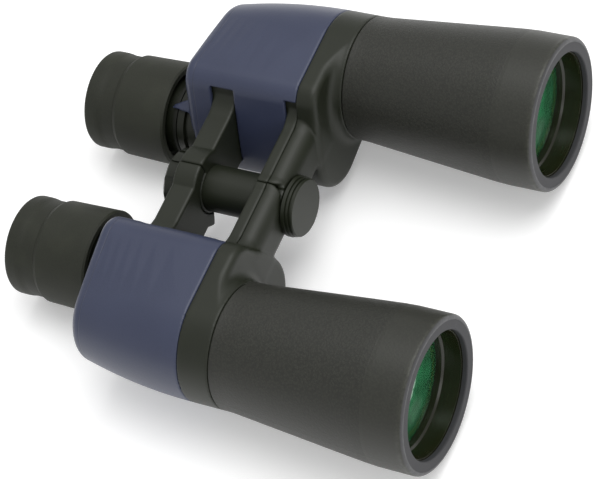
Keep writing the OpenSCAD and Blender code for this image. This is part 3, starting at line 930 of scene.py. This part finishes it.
def all_finishes(colours, lay):
    """Every finish by the name of the material slot that it belongs to."""
    shell_beyond_housing = 0.0021
    rear_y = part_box("left_prism_housing")[1].y + shell_beyond_housing
    casting, rim = tuple(colours.casting), tuple(colours.rim)
    return {
        "grained_black": grained_black(tuple(colours.tube), rim, lay.rim_y),
        "rim_black": moulded("rim_black", rim, 0.0004, 0.00001, 0.6, 0.06, 1.3, 0.2),
        "baffle_black": baffle_black((0.012, 0.0125, 0.004)),
        "green_coated_glass": coated_lens(
            "green_coated_glass",
            tuple(colours.coating),
            axes_of("objective_crown_lens"),
            lens_r=0.0255,
            glint=(0.20, 0.34, 0.07),
        ),
        "satin_black": moulded("satin_black", casting, 0.00045, 0.00003, 0.46, 0.1),
        "screw_steel": turned_metal("screw_steel", (0.55, 0.55, 0.56), 0.32),
        "slate_blue": slate_blue(tuple(colours.shell), rear_y),
        "shelf_alloy": turned_metal("shelf_alloy", (0.16, 0.16, 0.17), 0.5, 0.0006),
        "prism_glass": prism_glass(),
        "spring_steel": turned_metal("spring_steel", (0.6, 0.6, 0.58), 0.28, 0.0005),
        "neck_black": moulded("neck_black", shade(casting, 0.75), 0.0004, 0.00002, 0.4, 0.08),
        "seal_rubber": rubber("seal_rubber", shade(casting, 0.5), 0.0004, 0.00003),
        "amber_coated_glass": coated_lens(
            "amber_coated_glass",
            (0.11, 0.045, 0.012),
            axes_of("eye_lens"),
            lens_r=0.0125,
            glint=(0.05, 0.12, 0.10),
        ),
        "ring_black": rubber("ring_black", tuple(colours.rubber), 0.0005, 0.00005),
        "cup_rubber": rubber("cup_rubber", shade(colours.rubber, 0.92), 0.0006, 0.00006, 0.4),
        "shaft_steel": turned_metal("shaft_steel", (0.45, 0.45, 0.46), 0.3),
        "washer_brass": turned_metal("washer_brass", (0.55, 0.36, 0.12), 0.35),
        "cap_black": moulded("cap_black", shade(casting, 1.1), 0.0004, 0.00002, 0.44, 0.08),
    }


def finish_of(slot):
    found = bpy.data.materials.get(slot)
    if found is None or not found.get("finish"):
        raise RuntimeError(f"finish {slot} isn't made yet: apply the finishes first")
    return found


# -------------------------------------------------------------------- pieces


def piece_from(name, corners, faces, slot):
    """A smooth mesh object with the slot's finish."""
    mesh = bpy.data.meshes.new(name)
    mesh.from_pydata([tuple(c) for c in corners], [], [tuple(int(i) for i in f) for f in faces])
    mesh.polygons.foreach_set("use_smooth", [True] * len(mesh.polygons))
    mesh.materials.append(finish_of(slot))
    mesh.validate()
    made = bpy.data.objects.new(name, mesh)
    bpy.context.scene.collection.objects.link(made)
    return made


def grown(node, lay, side, by=1.5):
    """The node's box in the left half's millimetres, a little larger."""
    a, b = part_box(node)
    flip = -1 if side == "right" else 1
    xs = sorted((1000 * flip * a.x, 1000 * flip * b.x))
    low = (xs[0] - by, lay.along(a.y) - by, lay.height(a.z) - by)
    high = (xs[1] + by, lay.along(b.y) + by, lay.height(b.z) + by)
    return low, high


def skin_both(context, node, name, slot, field_of):
    """Skins the field of each half's casting and lets the skin stand for its node."""
    sizes, lay = context.scene.binoculars_castings, Layout()
    for side in SIDES:
        low, high = grown(f"{side}_{node}", lay, side)
        grid = Lattice(low, high, 1000 * sizes.step)
        corners, faces = grid.skin(field_of(grid, lay, sizes, side))
        if side == "right":
            faces = faces[:, ::-1]
        made = piece_from(f"{side}_{name}", lay.place(corners, side), faces, slot)
        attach(made, f"{side}_half")
        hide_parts(f"{side}_{node}")


class NodeTree:
    """A Geometry Nodes tree with named inputs."""

    def __init__(self, name, inputs):
        self.tree = bpy.data.node_groups.new(name, "GeometryNodeTree")
        face = self.tree.interface
        face.new_socket("Geometry", in_out="INPUT", socket_type="NodeSocketGeometry")
        self.ids = {}
        for label, (kind, default) in inputs.items():
            made = face.new_socket(label, in_out="INPUT", socket_type=kind)
            if default is not None:
                made.default_value = default
            self.ids[label] = made.identifier
        face.new_socket("Geometry", in_out="OUTPUT", socket_type="NodeSocketGeometry")
        self.given = self.tree.nodes.new("NodeGroupInput")
        self.result = self.tree.nodes.new("NodeGroupOutput")

    def input(self, label):
        return self.given.outputs[label]

    def node(self, kind, settings, sockets):
        made = self.tree.nodes.new(kind)
        for name, value in settings.items():
            setattr(made, name, value)
        for name, value in sockets.items():
            if isinstance(value, bpy.types.NodeSocket):
                self.tree.links.new(value, made.inputs[name])
            else:
                made.inputs[name].default_value = value
        return made.outputs[0]

    def finish(self, geometry):
        """Ends the tree with real geometry that carries its material."""
        real = self.node("GeometryNodeRealizeInstances", {}, {"Geometry": geometry})
        done = self.node(
            "GeometryNodeSetMaterial", {}, {"Geometry": real, "Material": self.input("Finish")}
        )
        self.tree.links.new(done, self.result.inputs["Geometry"])

    def make(self, name, starts, values):
        """Evaluates the tree on points at the starts; gives a plain mesh object."""
        holder = bpy.data.objects.new(name + "_holder", bpy.data.meshes.new(name + "_holder"))
        holder.data.from_pydata(starts, [], [])
        bpy.context.scene.collection.objects.link(holder)
        modifier = holder.modifiers.new("shape", "NODES")
        modifier.node_group = self.tree
        for label, value in values.items():
            modifier[self.ids[label]] = value
        holder.update_tag()
        bpy.context.view_layer.update()
        seen = bpy.context.evaluated_depsgraph_get()
        mesh = bpy.data.meshes.new_from_object(holder.evaluated_get(seen))
        mesh.name = name
        bpy.data.objects.remove(holder)
        if not mesh.polygons:
            raise RuntimeError(f"{name} came out empty")
        mesh.polygons.foreach_set("use_smooth", [True] * len(mesh.polygons))
        made = bpy.data.objects.new(name, mesh)
        bpy.context.scene.collection.objects.link(made)
        return made


def thread_tree():
    """Thread crests: at every starting point, rings of small round section that stand
    one behind another along Y."""
    made = NodeTree(
        "thread_crests",
        {
            "Crests": ("NodeSocketInt", 4),
            "Pitch": ("NodeSocketFloat", 0.00075),
            "Thread Radius": ("NodeSocketFloat", 0.025),
            "Crest Radius": ("NodeSocketFloat", 0.0001),
            "Sides": ("NodeSocketInt", 128),
            "Finish": ("NodeSocketMaterial", None),
        },
    )
    step = made.node("ShaderNodeCombineXYZ", {}, {"Y": made.input("Pitch")})
    row = made.node(
        "GeometryNodeMeshLine", {"mode": "OFFSET"}, {"Count": made.input("Crests"), "Offset": step}
    )
    ring = made.node(
        "GeometryNodeCurvePrimitiveCircle",
        {"mode": "RADIUS"},
        {"Resolution": made.input("Sides"), "Radius": made.input("Thread Radius")},
    )
    section = made.node(
        "GeometryNodeCurvePrimitiveCircle",
        {"mode": "RADIUS"},
        {"Resolution": 8, "Radius": made.input("Crest Radius")},
    )
    crest = made.node("GeometryNodeCurveToMesh", {}, {"Curve": ring, "Profile Curve": section})
    stack = made.node(
        "GeometryNodeInstanceOnPoints",
        {},
        {"Points": row, "Instance": crest, "Rotation": (math.pi / 2, 0, 0)},
    )
    stack = made.node("GeometryNodeRealizeInstances", {}, {"Geometry": stack})
    spread = made.node(
        "GeometryNodeInstanceOnPoints", {}, {"Points": made.input("Geometry"), "Instance": stack}
    )
    made.finish(spread)
    return made


# ----------------------------------------------------------------- operators


class BINOCULARS_OT_finishes(bpy.types.Operator):
    """Makes every finish and gives it to the nodes of its material slot"""

    bl_idname = "binoculars.finishes"
    bl_label = "Finishes"

    def execute(self, context):
        made = all_finishes(context.scene.binoculars_colours, Layout())
        slots = {}
        for entry in frame["record"]["materials"]:
            if entry["slot"] not in made:
                raise RuntimeError(f"no finish for slot {entry['slot']}")
        for slot, material in made.items():
            material["finish"] = slot
        for name, node in frame["nodes"].items():
            for held in node.material_slots:
                slot = held.material.name.split(".")[0]
                if slot not in made:
                    raise RuntimeError(f"node {name} has the unknown slot {slot}")
                slots[name] = slot
        for name, slot in slots.items():
            for held in frame["nodes"][name].material_slots:
                held.material = made[slot]
        for slot, material in made.items():
            old = bpy.data.materials.get(slot)
            if old is not None and old != material:
                bpy.data.materials.remove(old)
            material.name = slot
        return {"FINISHED"}


class BINOCULARS_OT_front_covers(bpy.types.Operator):
    """Skins both front covers: boss, valley, plate and rounded arm in one casting"""

    bl_idname = "binoculars.front_covers"
    bl_label = "Front covers"

    def execute(self, context):
        skin_both(context, "front_cover", "front_casting", "satin_black", front_cover_field)
        return {"FINISHED"}


class BINOCULARS_OT_prism_housings(bpy.types.Operator):
    """Skins both prism housings with their two arms"""

    bl_idname = "binoculars.prism_housings"
    bl_label = "Prism housings"

    def execute(self, context):
        skin_both(context, "prism_housing", "rear_casting", "satin_black", prism_housing_field)
        return {"FINISHED"}


class BINOCULARS_OT_cover_shells(bpy.types.Operator):
    """Skins both blue cover shells with their notches and pointers"""

    bl_idname = "binoculars.cover_shells"
    bl_label = "Cover shells"

    def execute(self, context):
        skin_both(context, "cover_shell", "blue_shell", "slate_blue", cover_shell_field)
        return {"FINISHED"}


class BINOCULARS_OT_mouth_threads(bpy.types.Operator):
    """Lays the fine thread inside each objective mouth"""

    bl_idname = "binoculars.mouth_threads"
    bl_label = "Mouth threads"

    def execute(self, context):
        sizes, tree = context.scene.binoculars_threads, thread_tree()
        first_crest = 0.0003
        for side in SIDES:
            low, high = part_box(f"{side}_objective_cell")
            start = ((low.x + high.x) / 2, low.y + first_crest, (low.z + high.z) / 2)
            values = {
                "Crests": sizes.mouth_crests,
                "Pitch": sizes.mouth_pitch,
                "Thread Radius": sizes.mouth_r,
                "Crest Radius": sizes.crest_r,
                "Sides": 160,
                "Finish": finish_of("baffle_black"),
            }
            made = tree.make(f"{side}_mouth_thread", [start], values)
            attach(made, f"{side}_half")
        return {"FINISHED"}


class BINOCULARS_OT_screw_threads(bpy.types.Operator):
    """Winds the thread crests on the three screws that hold each front cover"""

    bl_idname = "binoculars.screw_threads"
    bl_label = "Screw threads"

    def execute(self, context):
        sizes, tree, lay = context.scene.binoculars_threads, thread_tree(), Layout()
        for side in SIDES:
            low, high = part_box(f"{side}_cover_screws")
            outward = 1 if side == "left" else -1
            axis_x = outward * lay.obj_x / 1000
            spread = max(abs(low.x), abs(high.x)) - abs(axis_x) - sizes.screw_head_r
            start = low.y + sizes.screw_head_t + sizes.screw_pitch
            starts = [
                (axis_x + outward * spread * math.cos(a), start, lay.axis_z + spread * math.sin(a))
                for a in (math.radians(-60), 0, math.radians(60))
            ]
            values = {
                "Crests": int((high.y - start - 0.0003) / sizes.screw_pitch),
                "Pitch": sizes.screw_pitch,
                "Thread Radius": sizes.screw_shank_r - 0.00004,
                "Crest Radius": sizes.crest_r * 0.9,
                "Sides": 32,
                "Finish": finish_of("screw_steel"),
            }
            made = tree.make(f"{side}_screw_thread", starts, values)
            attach(made, f"{side}_half")
        return {"FINISHED"}


class BINOCULARS_OT_studio(bpy.types.Operator):
    """Sets the pale floor, the soft lights and the camera"""

    bl_idname = "binoculars.studio"
    bl_label = "Studio"

    def execute(self, context):
        scene, studio = context.scene, context.scene.binoculars_studio
        low, high = CAD_BOX
        middle = (low + high) / 2
        self.floor(scene, low.z)
        self.lights(scene, studio, middle)
        self.camera(scene, studio, middle)
        scene.view_settings.view_transform = "Standard"
        return {"FINISHED"}

    def floor(self, scene, z):
        f = Finish("studio_floor")
        fine = f.noise(0.004, 3)
        material = f.surface(
            base_color=f.mix(fine, (0.93, 0.93, 0.93), (0.95, 0.95, 0.95)),
            roughness=0.8 + (fine - 0.5) * 0.1,
            specular_ior_level=0.1,
            emission_color=(1, 1, 1),
            emission_strength=0.22,
        )
        half = 4.0
        mesh = bpy.data.meshes.new("studio_floor")
        under = z - 0.0002
        plan = ((-half, -half), (half, -half), (half, half), (-half, half))
        corners = [(x, y, under) for x, y in plan]
        mesh.from_pydata(corners, [], [(0, 1, 2, 3)])
        mesh.materials.append(material)
        floor = bpy.data.objects.new("studio_floor", mesh)
        scene.collection.objects.link(floor)

    def lights(self, scene, studio, middle):
        world = bpy.data.worlds.new("studio_room")
        scene.world = world
        world.use_nodes = True
        background = world.node_tree.nodes["Background"]
        background.inputs["Color"].default_value = (1, 1, 1, 1)
        background.inputs["Strength"].default_value = studio.room
        for name, direction, distance, size, share in (
            ("key_softbox", (0.22, -0.20, 0.92), 1.4, 1.2, 1.0),
            ("front_softbox", (-0.35, -0.85, 0.35), 1.8, 0.8, 0.25),
        ):
            light = bpy.data.lights.new(name, "AREA")
            light.shape, light.size, light.size_y = "RECTANGLE", size, size
            light.energy = studio.key_power * share
            made = bpy.data.objects.new(name, light)
            back = Vector(direction).normalized()
            made.location = middle + back * distance
            made.rotation_mode = "QUATERNION"
            made.rotation_quaternion = back.to_track_quat("Z", "Y")
            scene.collection.objects.link(made)

    def camera(self, scene, studio, middle):
        a, e, r = studio.azimuth, studio.elevation, studio.roll
        back = Vector((math.sin(a) * math.cos(e), -math.cos(a) * math.cos(e), math.sin(e)))
        right = Vector((0, 0, 1)).cross(back).normalized()
        up = back.cross(right)
        turned_right = right * math.cos(r) + up * math.sin(r)
        turned_up = up * math.cos(r) - right * math.sin(r)
        data = bpy.data.cameras.new("product_camera")
        data.lens, data.sensor_width = studio.lens, 36.0
        data.clip_start, data.clip_end = 0.05, 20.0
        made = bpy.data.objects.new("product_camera", data)
        turn = Matrix((turned_right, turned_up, back)).transposed()
        eye = middle + Vector(studio.aim) + back * studio.distance
        made.matrix_world = Matrix.Translation(eye) @ turn.to_4x4()
        scene.collection.objects.link(made)
        scene.camera = made


class BINOCULARS_PT_panel(bpy.types.Panel):
    """Builds the binoculars step by step."""

    bl_label = "Binoculars"
    bl_space_type = "VIEW_3D"
    bl_region_type = "UI"
    bl_category = "Binoculars"

    def draw(self, context):
        for step in STEPS:
            self.layout.operator(step.bl_idname, text=step.bl_label)
        for title, group in GROUPS.items():
            box = self.layout.box()
            box.label(text=title.replace("binoculars_", "").title())
            settings = getattr(context.scene, title)
            for name in group.__annotations__:
                box.prop(settings, name)


STEPS = (
    BINOCULARS_OT_studio,
    BINOCULARS_OT_finishes,
    BINOCULARS_OT_front_covers,
    BINOCULARS_OT_prism_housings,
    BINOCULARS_OT_cover_shells,
    BINOCULARS_OT_mouth_threads,
    BINOCULARS_OT_screw_threads,
)
GROUPS = {
    "binoculars_castings": CastingSizes,
    "binoculars_threads": ThreadSizes,
    "binoculars_colours": FinishColours,
    "binoculars_studio": StudioSizes,
}


def register():
    for group in GROUPS.values():
        bpy.utils.register_class(group)
    for name, group in GROUPS.items():
        setattr(bpy.types.Scene, name, bpy.props.PointerProperty(type=group))
    for step in STEPS:
        bpy.utils.register_class(step)
    bpy.utils.register_class(BINOCULARS_PT_panel)


def unregister():
    bpy.utils.unregister_class(BINOCULARS_PT_panel)
    for step in reversed(STEPS):
        bpy.utils.unregister_class(step)
    for name in GROUPS:
        delattr(bpy.types.Scene, name)
    for group in GROUPS.values():
        bpy.utils.unregister_class(group)


def main():
    register()
    for step in STEPS:
        area, name = step.bl_idname.split(".")
        getattr(getattr(bpy.ops, area), name)()


if __name__ == "__main__":
    main()
